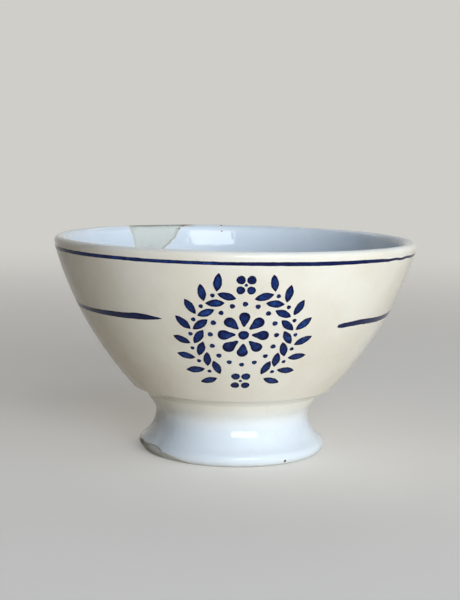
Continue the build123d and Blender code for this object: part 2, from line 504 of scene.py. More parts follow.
@dataclass(frozen=True)
class GlazeFinish:
    """Tin-white glaze, poured and fired over earthenware: glossy, creamy, faintly mottled, crazed with age.

    The eye gets soft window reflections that waver a little, warm drifts a few centimetres wide, a bluish
    tint inside the bowl and low on the foot that is partly pooled glaze and partly painted sky light, a net
    of hair cracks that shows in places, and a few iron specks.
    """

    name: str = "white_glaze"
    light: str = "#ECE8DC"
    shade: str = "#E6E0D1"
    craze: str = "#B9AE9A"
    speck: str = "#6E5C46"
    pool_and_sky_tint: str = "#DCE5EC"
    stain: str = "#A5733F"
    mottle_size: float = 28.0
    craze_size: float = 7.5
    craze_width: float = 0.09
    craze_strength: float = 0.2
    craze_patch_size: float = 22.4
    bend_size: float = 6.0
    bend_share: float = 0.004
    speck_size: float = 8.0
    speck_reach: float = 0.44
    speck_rarity: float = 0.82
    speck_strength: float = 0.62
    peel_size: float = 5.0
    peel_strength: float = 0.42
    ring_spacing: float = 15.08
    ring_strength: float = 0.08
    relief: float = 0.4
    roughness: float = 0.05
    ior: float = 1.5

    def colour(self, tree: NodeTree, place: NodeSocket) -> Node:
        """Mixes the glaze's colour: mottled body, bluish tint of pooled glaze and painted sky light,
        crazing, specks, stain.

        Args:
            tree: the material's node tree.
            place: the piece's Object coordinates.

        Returns:
            The last mix.
        """
        mottle = add_node(tree, "TexNoise", {
            "Vector": place, "Scale": per_metre(self.mottle_size), "Detail": 3.0, "Roughness": 0.55})
        tone = add_node(tree, "MapRange", {"Value": mottle, "From Min": 0.36, "From Max": 0.66},
                        interpolation_type="SMOOTHSTEP")
        # Bluish tint where pool is high, on the bowl's inside and the lower foot: partly thick pooled glaze,
        # partly painted sky light on faces that turn up.
        pool = add_node(tree, "Attribute", attribute_name="pool").outputs["Fac"]
        bend = add_node(tree, "TexNoise", {
            "Vector": place, "Scale": per_metre(self.bend_size), "Detail": 2.0}).outputs["Color"]
        bent = add_node(tree, "Mix", {"Factor": self.bend_share, "A": place, "B": bend}, data_type="VECTOR")
        cracks = add_node(tree, "TexVoronoi", {"Vector": bent, "Scale": per_metre(self.craze_size)},
                          feature="DISTANCE_TO_EDGE")
        hair = add_node(tree, "MapRange", {
            "Value": cracks, "From Max": self.craze_width / self.craze_size,
            "To Min": self.craze_strength, "To Max": 0.0})
        patch = add_node(tree, "TexNoise", {
            "Vector": place, "Scale": per_metre(self.craze_patch_size), "Detail": 1.0})
        shown = add_node(tree, "MapRange", {"Value": patch, "From Min": 0.46, "From Max": 0.66})
        crazing = add_node(tree, "Math", {0: hair, 1: shown}, operation="MULTIPLY")
        cells = add_node(tree, "TexVoronoi", {"Vector": place, "Scale": per_metre(self.speck_size)})
        chosen = add_node(tree, "SeparateColor", {"Color": cells.outputs["Color"]})
        reach = add_node(tree, "MapRange", {
            "Value": chosen, "From Min": self.speck_rarity, "To Max": self.speck_reach / self.speck_size})
        inside = add_node(tree, "Math", {0: cells, 1: reach}, operation="LESS_THAN")
        specks = add_node(tree, "Math", {0: inside, 1: self.speck_strength}, operation="MULTIPLY")
        soil = add_node(tree, "Attribute", attribute_name="stain").outputs["Fac"]
        colour = linear(self.shade)
        for share, tint in ((tone, self.light), (pool, self.pool_and_sky_tint), (crazing, self.craze),
                            (specks, self.speck), (soil, self.stain)):
            colour = add_node(tree, "Mix", {"Factor": share, "A": colour, "B": linear(tint)},
                              data_type="RGBA")
        return colour

    def material(self) -> Material:
        """Builds the glaze's node material, which reads the pieces' own pool and stain attributes.

        Returns:
            The material.
        """
        material, tree, shader, place = new_material(self.name, {
            "Roughness": self.roughness, "IOR": self.ior})
        feed(shader.inputs["Base Color"], self.colour(tree, place))
        rings = add_node(tree, "TexWave", {
            "Vector": place, "Scale": per_metre(self.ring_spacing) * WAVE_PERIOD, "Distortion": 2.5,
            "Detail": 2.0, "Detail Scale": 1.5}, bands_direction="Z").outputs["Fac"]
        peel = add_node(tree, "TexNoise", {
            "Vector": place, "Scale": per_metre(self.peel_size), "Detail": 2.0})
        ringed = add_node(tree, "Bump", {
            "Height": rings, "Strength": self.ring_strength, "Distance": self.relief * MM})
        peeled = add_node(tree, "Bump", {
            "Height": peel, "Strength": self.peel_strength, "Distance": self.relief * MM, "Normal": ringed})
        feed(shader.inputs["Normal"], peeled)
        return material


@dataclass(frozen=True)
class BiscuitFinish:
    """Bare earthenware where the glaze is broken or wiped away: matte, sandy, stained by use.

    The eye gets a dry grain under a millimetre, brown stains from tea and dust, and no gloss.
    """

    name: str = "bare_biscuit"
    clay: str = "#D9DBD4"
    sand: str = "#C4C9C2"
    stain: str = "#B5AC9C"
    stain_share: float = 0.35
    edge: str = "#8F9089"
    edge_share: float = 0.6
    soil: str = "#A5733F"
    grain_size: float = 0.7
    grain_depth: float = 0.25
    grain_strength: float = 0.5
    stain_size: float = 7.0
    roughness: float = 0.88
    specular: float = 0.25

    def material(self) -> Material:
        """Builds the biscuit's node material, which reads the pieces' own edge and stain attributes.

        Returns:
            The material.
        """
        material, tree, shader, place = new_material(self.name, {
            "Roughness": self.roughness, "Specular IOR Level": self.specular})
        grain = add_node(tree, "TexNoise", {
            "Vector": place, "Scale": per_metre(self.grain_size), "Detail": 4.0, "Roughness": 0.6})
        spots = add_node(tree, "TexNoise", {
            "Vector": place, "Scale": per_metre(self.stain_size), "Detail": 3.0, "Roughness": 0.6})
        soaked = add_node(tree, "MapRange", {
            "Value": spots, "From Min": 0.5, "From Max": 0.72, "To Max": self.stain_share})
        # Along the line where the glaze ends the biscuit shifts towards the edge colour.
        border = add_node(tree, "Attribute", attribute_name="edge").outputs["Fac"]
        rim = add_node(tree, "Math", {0: border, 1: self.edge_share}, operation="MULTIPLY")
        dirt = add_node(tree, "Attribute", attribute_name="stain").outputs["Fac"]
        colour = linear(self.clay)
        for share, tint in ((grain, self.sand), (soaked, self.stain), (rim, self.edge), (dirt, self.soil)):
            colour = add_node(tree, "Mix", {"Factor": share, "A": colour, "B": linear(tint)},
                              data_type="RGBA")
        feed(shader.inputs["Base Color"], colour)
        rough = add_node(tree, "Bump", {
            "Height": grain, "Strength": self.grain_strength, "Distance": self.grain_depth * MM})
        feed(shader.inputs["Normal"], rough)
        return material


@dataclass(frozen=True)
class CobaltFinish:
    """Cobalt blue brushed through a stencil and sunk into the glaze: glossy, dark where the colour pooled.

    The eye gets navy edges round a paler, streaky middle, and the same gloss as the glaze round it.
    """

    name: str = "cobalt_blue"
    pooled: str = "#04093A"
    thin: str = "#24509E"
    middle: float = 0.55
    streak_size: float = 1.3
    drift_size: float = 5.0
    roughness: float = 0.13
    ior: float = 1.5
    specular: float = 0.2

    def material(self) -> Material:
        """Builds the colour's node material, which reads the skins' own pool and tone attributes.

        Returns:
            The material.
        """
        material, tree, shader, place = new_material(self.name, {
            "Roughness": self.roughness, "IOR": self.ior, "Specular IOR Level": self.specular})
        pool = add_node(tree, "Attribute", attribute_name="pool").outputs["Fac"]
        tone = add_node(tree, "Attribute", attribute_name="tone").outputs["Fac"]
        streaks = add_node(tree, "TexNoise", {
            "Vector": place, "Scale": per_metre(self.streak_size), "Detail": 3.0, "Roughness": 0.6})
        drift = add_node(tree, "TexNoise", {
            "Vector": place, "Scale": per_metre(self.drift_size), "Detail": 2.0})
        streaky = add_node(tree, "MapRange", {
            "Value": streaks, "From Min": 0.35, "From Max": 0.7, "To Min": 0.15})
        drifting = add_node(tree, "MapRange", {
            "Value": drift, "From Min": 0.35, "From Max": 0.65, "To Min": 0.35})
        open_middle = add_node(tree, "MapRange", {"Value": pool, "From Min": 0.12, "From Max": self.middle},
                               interpolation_type="SMOOTHSTEP")
        worn = add_node(tree, "Math", {0: streaky, 1: drifting}, operation="MULTIPLY")
        thinned = add_node(tree, "Math", {0: open_middle, 1: worn}, operation="MULTIPLY")
        share = add_node(tree, "Math", {0: thinned, 1: tone}, operation="MULTIPLY", use_clamp=True)
        colour = add_node(tree, "Mix", {"Factor": share, "A": linear(self.pooled), "B": linear(self.thin)},
                          data_type="RGBA")
        feed(shader.inputs["Base Color"], colour)
        return material


@dataclass(frozen=True)
class PaperFinish:
    """Plain pale studio paper for the floor and the sweep behind: matte and even.

    The eye gets a paler tone than the paper bounces, which fades into the background away from the bowl.
    """

    name: str = "studio_paper"
    bounced: str = "#CAB899"
    seen: str = "#E2DFD9"
    glow: str = "#F0EEE9"
    lift: float = 0.24
    fade_start: float = 260.0
    fade_end: float = 950.0
    roughness: float = 0.95
    specular: float = 0.1

    def material(self) -> Material:
        """Builds the paper's node material, which tells looked-at paper from paper that lights the bowl.

        Returns:
            The material.
        """
        material, tree, shader, place = new_material(self.name, {
            "Roughness": self.roughness, "Specular IOR Level": self.specular,
            "Emission Color": linear(self.glow)})
        ray = add_node(tree, "LightPath")
        looked_at = add_node(tree, "Math", {
            0: ray.outputs["Is Camera Ray"], 1: ray.outputs["Is Glossy Ray"]}, operation="MAXIMUM")
        colour = add_node(tree, "Mix", {
            "Factor": looked_at, "A": linear(self.bounced), "B": linear(self.seen)}, data_type="RGBA")
        feed(shader.inputs["Base Color"], colour)
        strength = add_node(tree, "Math", {0: looked_at, 1: self.lift}, operation="MULTIPLY")
        feed(shader.inputs["Emission Strength"], strength)
        away = add_node(tree, "VectorMath", {0: place}, operation="LENGTH")
        fade = add_node(tree, "MapRange", {
            "Value": away, "From Min": self.fade_start * MM, "From Max": self.fade_end * MM},
            interpolation_type="SMOOTHSTEP")
        faded = add_node(tree, "Math", {0: fade, 1: looked_at}, operation="MULTIPLY")
        even = add_node(tree, "Emission", {"Color": linear(BACKGROUND)})
        mixed = add_node(tree, "MixShader", {0: faded, 1: shader, 2: even})
        feed(tree.nodes["Material Output"].inputs["Surface"], mixed)
        return material


# Clay pieces


@dataclass
class Bowl:
    """The bowl: rounded lip, curved wall and an underside that overhangs the foot.

    Places inside are told by their way along the section from the crown of the lip, growing downwards. The
    flake's edges are ways and azimuths, its waves are swings, sizes and seeds, and its pull is the radius,
    azimuth and height that its cutter is drawn out by. The stain is azimuths and shares, and a pit is its
    azimuth, way and radius.
    """

    rim_radius: float
    total_height: float
    underside_height: float
    lip_outer_round: float = 1.85
    lip_swell: float = 0.85
    lip_inside_round: float = 40.0
    lip_band_height: float = 4.75
    lip_band_inset: float = 0.45
    wall_curve_radius: float = 135.0
    wall_thickness: float = 4.2
    floor_thickness: float = 5.5
    inside_corner_radius: float = 42.0
    belly_radius: float = 39.1
    belly_edge_round: float = 2.0
    mesh_step: float = 1.2
    lip_step: float = 0.35
    turns: int = 288
    unevenness: float = 0.22
    unevenness_size: float = 32.0
    flake_depth: float = 1.1
    flake_lip_depth: float = 0.45
    flake_lip_way: float = 5.0
    flake_side_share: float = 0.14
    flake_end_share: float = 0.175
    flake_clear: float = 0.15
    flake_waves: tuple[Triple, ...] = ((0.22, 5.0, 3.1), (0.07, 1.4, 7.7))
    flake_grid: tuple[int, int] = (64, 56)
    flake_pull: Triple = (-7.0, 208.8, 4.0)
    flake_right_edge: tuple[Point, ...] = (
        (-0.7, 190.0), (0.6, 192.5), (1.4, 195.3), (3.0, 198.2), (6.9, 199.9), (9.0, 202.0), (11.9, 205.2),
        (16.6, 209.0), (19.6, 212.6))
    flake_left_edge: tuple[Point, ...] = (
        (-0.7, 219.4), (3.9, 219.7), (6.2, 218.8), (10.6, 218.5), (13.6, 217.8), (17.1, 216.0),
        (19.6, 213.4))
    stain: tuple[Point, ...] = ((191.0, 0.0), (193.0, 0.4), (195.5, 0.55), (197.5, 0.3), (199.0, 0.0))
    stain_drop: float = 1.1
    pits: tuple[Triple, ...] = (
        (182.0, 0.9, 0.5), (181.8, 4.4, 0.28), (198.3, 3.2, 0.3), (197.0, 2.0, 0.3))

    def __post_init__(self) -> None:
        """Works out the wall's arc and the lip's rounds from the sizes."""
        self.lip_foot_radius = self.rim_radius - self.lip_band_inset
        self.lip_foot_height = self.total_height - self.lip_band_height
        self.lip_top_radius = self.rim_radius - self.lip_outer_round
        rise = self.lip_foot_height - self.underside_height
        spread = self.lip_foot_radius - self.belly_radius
        chord = hypot(spread, rise)
        reach = sqrt(self.wall_curve_radius**2 - (chord / 2) ** 2)
        self.wall_centre = (self.belly_radius + spread / 2 - reach * rise / chord,
                            self.underside_height + rise / 2 + reach * spread / chord)
        self.inner_round = self.wall_curve_radius - self.wall_thickness
        self.lip_inner_round = self.wall_thickness + self.lip_swell - self.lip_outer_round
        self.lip_inner = (self.lip_top_radius, self.total_height - self.lip_inner_round)
        self.lip_inside = meeting(self.wall_centre, self.inner_round - self.lip_inside_round,
                                  self.lip_inner, self.lip_inside_round + self.lip_inner_round)
        self.lip_low = heading(self.wall_centre, self.lip_inside)
        self.lip_high = heading(self.lip_inside, self.lip_inner)

    def wall_angle(self, height: float, outside: float = 0.0) -> float:
        """Angle about the wall's centre, in radians, of a height on the wall or this far outside it."""
        return asin((height - self.wall_centre[1]) / (self.wall_curve_radius + outside))

    def wall_radius(self, height: float, outside: float = 0.0) -> float:
        """Radius of the wall's outer face at a height, or of a surface this far outside it."""
        reach = self.wall_curve_radius + outside
        return self.wall_centre[0] + sqrt(reach**2 - (height - self.wall_centre[1]) ** 2)

    def outer_radius(self, height: float) -> float:
        """Finds the radius of the wall or of the lip's outer band.

        Args:
            height: height on the outside of the bowl.

        Returns:
            The radius there.
        """
        above = height - self.lip_foot_height
        if above > 0:
            return self.lip_foot_radius + self.lip_band_inset * above / self.lip_band_height
        return self.wall_radius(height)

    def section(self) -> list[Point]:
        """Draws the outline of the clay.

        Returns:
            Points from the middle of the underside round to the middle of the floor inside.
        """
        base, edge, corner = self.underside_height, self.belly_edge_round, self.inside_corner_radius
        floor = base + self.floor_thickness
        corner_depth = -self.wall_thickness - corner
        belly = (self.wall_radius(base + edge, -edge), base + edge)
        belly_angle = self.wall_angle(base + edge, -edge)
        bottom = (self.wall_radius(floor + corner, corner_depth), floor + corner)
        bottom_angle = self.wall_angle(floor + corner, corner_depth)
        lip_angle = self.wall_angle(self.lip_foot_height)
        lip_outer = (self.lip_top_radius, self.total_height - self.lip_outer_round)
        points = run((0.0, base), (belly[0], base), 2 * self.mesh_step)
        points += arc(belly, edge, -pi / 2, belly_angle, self.lip_step)[1:]
        points += arc(self.wall_centre, self.wall_curve_radius, belly_angle, lip_angle, self.mesh_step)[1:]
        points += run(points[-1], (self.rim_radius, lip_outer[1]), self.mesh_step)[1:]
        points += arc(lip_outer, self.lip_outer_round, 0, pi / 2, self.lip_step)[1:]
        points += arc(self.lip_inner, self.lip_inner_round, pi / 2, pi + self.lip_high, self.lip_step)[1:]
        points += arc(self.lip_inside, self.lip_inside_round, self.lip_high, self.lip_low,
                      self.mesh_step / 2)[1:]
        points += arc(self.wall_centre, self.inner_round, self.lip_low, bottom_angle, self.mesh_step)[1:]
        points += arc(bottom, corner, bottom_angle, -pi / 2, self.mesh_step)[1:]
        points += run(points[-1], (0.0, floor), 2 * self.mesh_step)[1:]
        return points

    def inside_place(self, way: float) -> tuple[Point, Point]:
        """Finds a place on the inside of the lip or wall.

        Args:
            way: way along the section from the crown of the lip.

        Returns:
            The place and the direction out of the clay there, both as radius and height.
        """
        lip_end = self.lip_inner_round * (pi / 2 + self.lip_high)
        swell_end = lip_end + self.lip_inside_round * (self.lip_high - self.lip_low)
        side = -1
        if way <= lip_end:
            radius = self.lip_outer_round if way < 0 else self.lip_inner_round
            centre = (self.lip_top_radius, self.total_height - radius)
            angle = pi / 2 + way / radius
            side = 1
        elif way <= swell_end:
            centre, radius = self.lip_inside, self.lip_inside_round
            angle = self.lip_high - (way - lip_end) / radius
        else:
            centre, radius = self.wall_centre, self.inner_round
            angle = self.lip_low - (way - swell_end) / radius
        out_r, out_z = side * cos(angle), side * sin(angle)
        return (centre[0] + radius * cos(angle), centre[1] + radius * sin(angle)), (out_r, out_z)

    def flake_place(self, across: float, down: float) -> Vector:
        """Finds a point of the scar that a flake left inside the lip.

        Args:
            across: share of the scar's width, from its right edge.
            down: share of its way down from the lip.

        Returns:
            The point, in metres.
        """
        first, last = self.flake_right_edge[0][0], self.flake_right_edge[-1][0]
        way = first + (last - first) * down
        right, left = along(self.flake_right_edge, way), along(self.flake_left_edge, way)
        azimuth = right * (1 - across) + left * across
        (radius, height), (out_r, out_z) = self.inside_place(way)
        spot = round_axis(radius, azimuth, height) / MM
        edge = min(1.0, across / self.flake_side_share, (1 - across) / self.flake_side_share,
                   (1 - down) / self.flake_end_share)
        middle = along(((0.0, self.flake_lip_depth), (self.flake_lip_way, self.flake_depth)), way)
        depth = (middle + self.flake_clear) * steep_share(edge) - self.flake_clear
        depth += edge * sum(swing * ripple(spot, size, seed) for swing, size, seed in self.flake_waves)
        return round_axis(radius - out_r * depth, azimuth, height - out_z * depth)

    def build(self, glaze: Material) -> Object:
        """Turns the bowl, marks its inside for the bluish tint of pooled glaze and painted sky light, and
        gives it its slight unevenness.

        Args:
            glaze: the bowl's finish.

        Returns:
            The bowl, still whole.
        """
        piece = turned("glazed_bowl", self.section(), self.turns, glaze)
        # The pool values tint the inside bluish: partly pooled glaze, partly painted sky light.
        pools = []
        for vertex in piece.data.vertices:
            across = hypot(vertex.co.x, vertex.co.y) / MM - self.wall_centre[0]
            depth = self.wall_curve_radius - hypot(across, vertex.co.z / MM - self.wall_centre[1])
            pools.append(smooth_share(depth / self.wall_thickness))
        paint_values(piece, "pool", pools)
        uneven(piece, self.unevenness, self.unevenness_size)
        return piece

    def break_rim(self, piece: Object, biscuit: Material, dark: Material) -> None:
        """Breaks the flake and the pits out of the lip and stains the flake's thin end.

        Args:
            piece: the turned bowl.
            biscuit: material of the flake's scar.
            dark: material of the pits.
        """
        scar = laid_grid("flake_cutter", *self.flake_grid, self.flake_place)
        cut(piece, cutter_from(scar, round_axis(*self.flake_pull)), biscuit)
        for azimuth, way, radius in self.pits:
            (pit_radius, height), _ = self.inside_place(way)
            cut(piece, pit_cutter(round_axis(pit_radius, azimuth, height), radius), dark)
        mark_edges(piece)
        stains = []
        for vertex in piece.data.vertices:
            azimuth = degrees(atan2(vertex.co.x, -vertex.co.y)) % 360
            high = smooth_share((vertex.co.z / MM - self.total_height) / self.stain_drop + 1)
            stains.append(high * along(self.stain, azimuth))
        paint_values(piece, "stain", stains)


@dataclass
class Foot:
    """The spool-shaped foot: round base bead, hollow waist, straight flare up to the joint.

    The chip's top line is azimuths and heights, its slopes are the lowest and highest sines of its start on
    the bead, and its pull is the radius, azimuth and height that its cutter is drawn out by. A pit is its
    azimuth, height and radius.
    """

    base_radius: float
    height: float
    top_radius: float = 35.6
    waist_radius: float = 30.0
    waist_height: float = 14.9
    flare_round: float = 5.8
    bead_round: float = 2.7
    bearing_width: float = 3.6
    bearing_edge_round: float = 0.8
    bearing_depth: float = 0.25
    bearing_slope: float = -0.9
    wall: float = 5.0
    mesh_step: float = 0.8
    turns: int = 216
    unevenness: float = 0.18
    unevenness_size: float = 24.0
    level_height: float = 6.0
    sky_tint_and_pool_top: float = 24.0
    sky_tint_and_pool_fade: float = 14.0
    chip_top: tuple[Point, ...] = (
        (-93.0, -0.3), (-88.0, 3.6), (-78.0, 4.4), (-70.0, 4.2), (-60.0, 4.9), (-53.0, 4.4), (-49.0, 3.0),
        (-44.0, 2.7), (-37.0, 1.7), (-33.0, 1.3), (-27.0, -0.3))
    chip_depth: float = 0.6
    chip_clear: float = 0.15
    chip_full_top: float = 3.0
    chip_edge_way: float = 0.9
    chip_end_angle: float = 0.8
    chip_slopes: Point = (-0.9, 0.98)
    chip_ragged: float = 0.35
    chip_ragged_size: float = 2.2
    chip_grain: float = 0.12
    chip_grain_size: float = 1.3
    chip_grain_run: float = 5.0
    chip_grid: tuple[int, int] = (150, 14)
    chip_pull: Triple = (9.0, -60.0, -3.0)
    pits: tuple[Triple, ...] = ((30.8, 1.75, 0.55),)

    def __post_init__(self) -> None:
        """Works out the arcs that meet at the waist."""
        self.bead_radius = self.base_radius - self.bead_round
        step = self.waist_radius - self.bead_radius
        rise = self.waist_height - self.bead_round
        self.waist_round = (step**2 + rise**2 - self.bead_round**2) / (2 * (self.bead_round - step))
        self.waist_centre = (self.waist_radius + self.waist_round, self.waist_height)
        self.bead_end = heading((self.bead_radius, self.bead_round), self.waist_centre)
        self.flare_centre = (self.waist_radius + self.flare_round, self.waist_height)
        across, up = self.top_radius - self.flare_centre[0], self.height - self.waist_height
        self.flare_end = atan2(up, across) + acos(self.flare_round / hypot(across, up))

    def section(self) -> list[Point]:
        """Draws the closed outline of the clay.

        Returns:
            Points from the bearing ring round the outside and back down the hollow.
        """
        inner_bearing = self.bead_radius - self.bearing_width
        inner_top = self.top_radius + self.wall / cos(self.flare_end)
        inner_waist = self.waist_round + self.wall
        hollow_end = 2 * pi - acos((inner_bearing - self.waist_centre[0]) / inner_waist)
        edge = self.bearing_edge_round
        fine = self.mesh_step / 2
        points = run((inner_bearing + edge, 0.0), (self.bead_radius, 0.0), fine)
        points += arc((self.bead_radius, self.bead_round), self.bead_round, -pi / 2, self.bead_end, fine)[1:]
        points += arc(self.waist_centre, self.waist_round, pi + self.bead_end, pi, self.mesh_step)[1:]
        points += arc(self.flare_centre, self.flare_round, pi, self.flare_end, fine)[1:]
        points += run(points[-1], (self.top_radius, self.height), self.mesh_step)[1:]
        points += run(points[-1], (inner_top, self.height), self.mesh_step)[1:]
        inner_flare = arc(self.flare_centre, self.flare_round + self.wall, self.flare_end, pi,
                          self.mesh_step)
        points += run(points[-1], inner_flare[0], self.mesh_step)[1:]
        points += inner_flare[1:]
        points += arc(self.waist_centre, inner_waist, pi, hollow_end, self.mesh_step)[1:]
        points += run(points[-1], (inner_bearing, edge), fine)[1:]
        points += arc((inner_bearing + edge, edge), edge, pi, 1.5 * pi, edge / 4)[1:]
        return points

    def bead_surface(self, height: float) -> float:
        """Radius of the base bead at a height."""
        return self.bead_radius + sqrt(max(0.0, self.bead_round**2 - (height - self.bead_round) ** 2))

    def chip_place(self, share: float, down: float) -> Vector:
        """Finds a point of the broken face along the base's edge.

        Args:
            share: share of the chip's way along the edge.
            down: share of the way down from its top line.

        Returns:
            The point, in metres.
        """
        first, last = self.chip_top[0][0], self.chip_top[-1][0]
        azimuth = first + (last - first) * share
        top = along(self.chip_top, azimuth)
        spot = round_axis(self.base_radius, azimuth, top) / MM
        top += self.chip_ragged * ripple(spot, self.chip_ragged_size, seed=1.9)
        lowest, highest = self.chip_slopes
        start = asin(max(lowest, min(highest, top / self.bead_round - 1)))
        angle = start - (start + pi / 2) * down
        bite = smooth_share(top / self.chip_full_top)
        bite *= steep_share((start - angle) * self.bead_round / self.chip_edge_way)
        bite *= smooth_share((angle + pi / 2) / self.chip_end_angle)
        lower = spot + Vector((0.0, 0.0, self.chip_grain_run * down))
        grain = self.chip_grain * ripple(lower, self.chip_grain_size, seed=4.3)
        reach = self.bead_round + self.chip_clear - (self.chip_depth + self.chip_clear + grain) * bite
        radius, height = self.bead_radius + reach * cos(angle), self.bead_round + reach * sin(angle)
        return round_axis(radius, azimuth, height)

    def build(self, glaze: Material) -> Object:
        """Turns the foot and gives it its slight unevenness, which fades out at its flat ends.

        Args:
            glaze: the foot's finish.

        Returns:
            The foot, still whole.
        """
        piece = turned("glazed_foot", self.section(), self.turns, glaze)
        heights = [vertex.co.z / MM for vertex in piece.data.vertices]
        # Bluish tint low on the foot, fading out upwards: partly pooled glaze, partly painted sky light on
        # the upturned flare.
        paint_values(piece, "pool", [smooth_share((self.sky_tint_and_pool_top - z) / self.sky_tint_and_pool_fade) for z in heights])
        group = piece.vertex_groups.new(name="above_base")
        for index, z in enumerate(heights):
            low = smooth_share(z / self.level_height)
            high = smooth_share((self.height - z) / self.level_height)
            group.add([index], low * high, "REPLACE")
        uneven(piece, self.unevenness, self.unevenness_size, group.name)
        return piece

    def break_base(self, piece: Object, biscuit: Material, dark: Material) -> None:
        """Breaks the long chip and the pits out of the base bead and bares the ring that the foot stands on.

        Args:
            piece: the turned foot.
            biscuit: material of the chip's face and of the wiped ring.
            dark: material of the pits.
        """
        face = laid_grid("chip_cutter", *self.chip_grid, self.chip_place)
        cut(piece, cutter_from(face, round_axis(*self.chip_pull)), biscuit)
        for azimuth, height, radius in self.pits:
            cut(piece, pit_cutter(round_axis(self.bead_surface(height), azimuth, height), radius), dark)
        mark_edges(piece)
        bare = piece.data.materials.find(biscuit.name)
        for facet in piece.data.polygons:
            if facet.center.z < self.bearing_depth * MM and facet.normal.z < self.bearing_slope:
                facet.material_index = bare


@dataclass
class LutedJoint:
    """The ring of slip between foot and bowl, with the glaze that pooled in its hollow fillet."""

    foot: Foot
    underside_height: float
    squeeze: float = 2.0
    run_down: float = 3.2
    hollow: float = 0.25
    depth: float = 4.0
    sink: float = 0.02
    inset: float = 0.3
    mesh_step: float = 0.3
    turns: int = 216

    def build(self, glaze: Material) -> Object:
        """Turns the ring: a hollow fillet from the flare to the underside, with its back inside the joint.

        Args:
            glaze: the ring's finish.

        Returns:
            The ring.
        """
        flare, top = self.foot.flare_end, self.foot.height
        corner = self.foot.top_radius - (self.underside_height - top) * tan(flare)
        low = (corner - self.run_down * sin(flare), self.underside_height + self.run_down * cos(flare))
        high = (corner + self.squeeze, self.underside_height + self.sink)
        chord = hypot(high[0] - low[0], high[1] - low[1])
        radius = (chord**2 / 4 + self.hollow**2) / (2 * self.hollow)
        share = (radius - self.hollow) / chord
        centre = ((low[0] + high[0]) / 2 + share * (high[1] - low[1]),
                  (low[1] + high[1]) / 2 - share * (high[0] - low[0]))
        first, last = heading(centre, low) % (2 * pi), heading(centre, high) % (2 * pi)
        back = self.foot.top_radius - self.depth
        points = arc(centre, radius, first, last, self.mesh_step)
        points += [(back, high[1]), (back, top), (self.foot.top_radius - self.inset, top), low]
        return turned("luted_joint", points, self.turns, glaze)


# Painted colour


@dataclass
class PaintLayer:
    """A layer of colour on the bowl's wall: how thick it is and how proud it stands."""

    ground: Object
    colour: Material
    hover: float = 0.1
    proud: float = 0.035
    thickness: float = 0.12
    crease: float = 50.0

    def lay(self, piece: Object, node: str) -> None:
        """Lays a sheet of colour on the wall, gives it thickness, dresses it and hands it over.

        Args:
            piece: the open sheet, which hovers just off the wall.
            node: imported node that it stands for.
        """
        apply_modifier(piece, "SHRINKWRAP", target=self.ground, wrap_method="NEAREST_SURFACEPOINT",
                       wrap_mode="ABOVE_SURFACE", offset=self.proud * MM)
        only(piece)
        edit_all()
        close_edit()
        apply_modifier(piece, "SOLIDIFY", thickness=self.thickness * MM, offset=-1.0)
        piece.data.materials.append(self.colour)
        hand_over(piece, Slot.COBALT_BLUE, node, self.crease)


@dataclass
class BrushedLine:
    """A line banded on the wall with a loaded brush: it wanders, swells and thins a little.

    Drifts from its level, widths and tones are stations round the bowl, by azimuth.
    """

    bowl: Bowl
    layer: PaintLayer
    name: str
    node: str
    start: float
    end: float
    level: float
    drifts: tuple[Point, ...]
    widths: tuple[Point, ...]
    tones: tuple[Point, ...]
    wander: float = 0.12
    wander_size: float = 22.0
    ragged: float = 0.08
    ragged_size: float = 2.6
    hair_size: float = 0.9
    hair_share: float = 0.5
    edge_side: float = 0.99
    across_rows: int = 6
    step: float = 0.5

    def place(self, share: float, across: float) -> Vector:
        """Finds a point of the line's sheet.

        Args:
            share: share of the way along the line.
            across: share of its width, from below.

        Returns:
            The point, in metres.
        """
        azimuth = self.start + (self.end - self.start) * share
        side = 2 * across - 1
        middle = round_axis(self.bowl.rim_radius, azimuth, 0.0) / MM
        height = self.level + along(self.drifts, azimuth) + side * along(self.widths, azimuth) / 2
        height += self.wander * ripple(middle, self.wander_size, seed=1.7)
        if abs(side) > self.edge_side:
            tufts = ripple(middle, self.ragged_size, seed=5.0 + side)
            hairs = ripple(middle, self.hair_size, seed=9.0 - side)
            height += self.ragged * (tufts + self.hair_share * hairs)
        return round_axis(self.bowl.outer_radius(height) + self.layer.hover, azimuth, height)

    def build(self) -> None:
        """Lays the line, with its edges and tones marked."""
        columns = ceil(radians(self.end - self.start) * self.bowl.rim_radius / self.step)
        piece = laid_grid(self.name, columns, self.across_rows, self.place)
        pools, tones = [], []
        for index in range(len(piece.data.vertices)):
            row, column = divmod(index, columns + 1)
            pools.append(1 - abs(2 * row / self.across_rows - 1))
            tones.append(along(self.tones, self.start + (self.end - self.start) * column / columns))
        paint_values(piece, "pool", pools)
        paint_values(piece, "tone", tones)
        self.layer.lay(piece, self.node)


